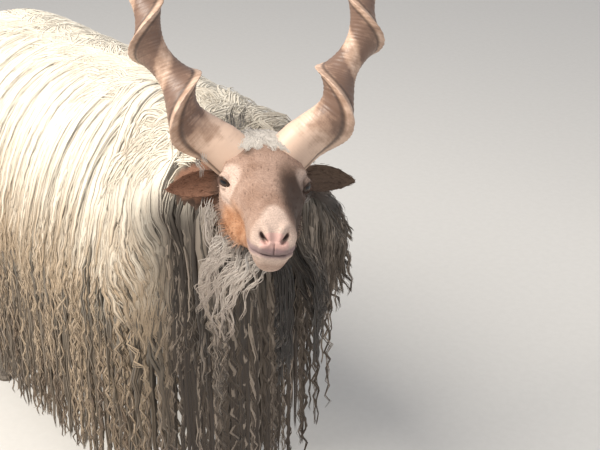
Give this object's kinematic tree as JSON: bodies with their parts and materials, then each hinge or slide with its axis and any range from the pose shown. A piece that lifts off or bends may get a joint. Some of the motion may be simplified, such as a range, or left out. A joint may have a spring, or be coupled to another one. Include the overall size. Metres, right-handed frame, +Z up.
{
  "type": "racka sheep",
  "caption": "Standing racka ram with long corkscrew horns, head turned to its right, under a coat of long hanging locks.",
  "frame": {"origin": "on the floor, under the middle of the whole animal's box", "axes": "+X the way the body faces, +Y to the animal's left, +Z up"},
  "size_m": [1.2212, 0.4786, 1.095],
  "materials": {
    "wool": "matt, cream at the roots and grey-brown at the tips",
    "short_coat": "short flat hair, matt",
    "horn": "ribbed horn, satin",
    "hoof": "dark horn, satin",
    "eye": "wet, glossy"
  },
  "bodies": {
    "root": {"head": "short_coat", "neck": "wool", "torso": "wool", "tail": "wool", "horn_left": "horn", "horn_right": "horn", "ear_left": "short_coat", "ear_right": "short_coat", "eye_left": "eye", "eye_right": "eye", "leg_front_left": "short_coat", "leg_front_right": "short_coat", "leg_hind_left": "short_coat", "leg_hind_right": "short_coat", "hoof_front_left": "hoof", "hoof_front_right": "hoof", "hoof_hind_left": "hoof", "hoof_hind_right": "hoof"}
  },
  "joints": []
}
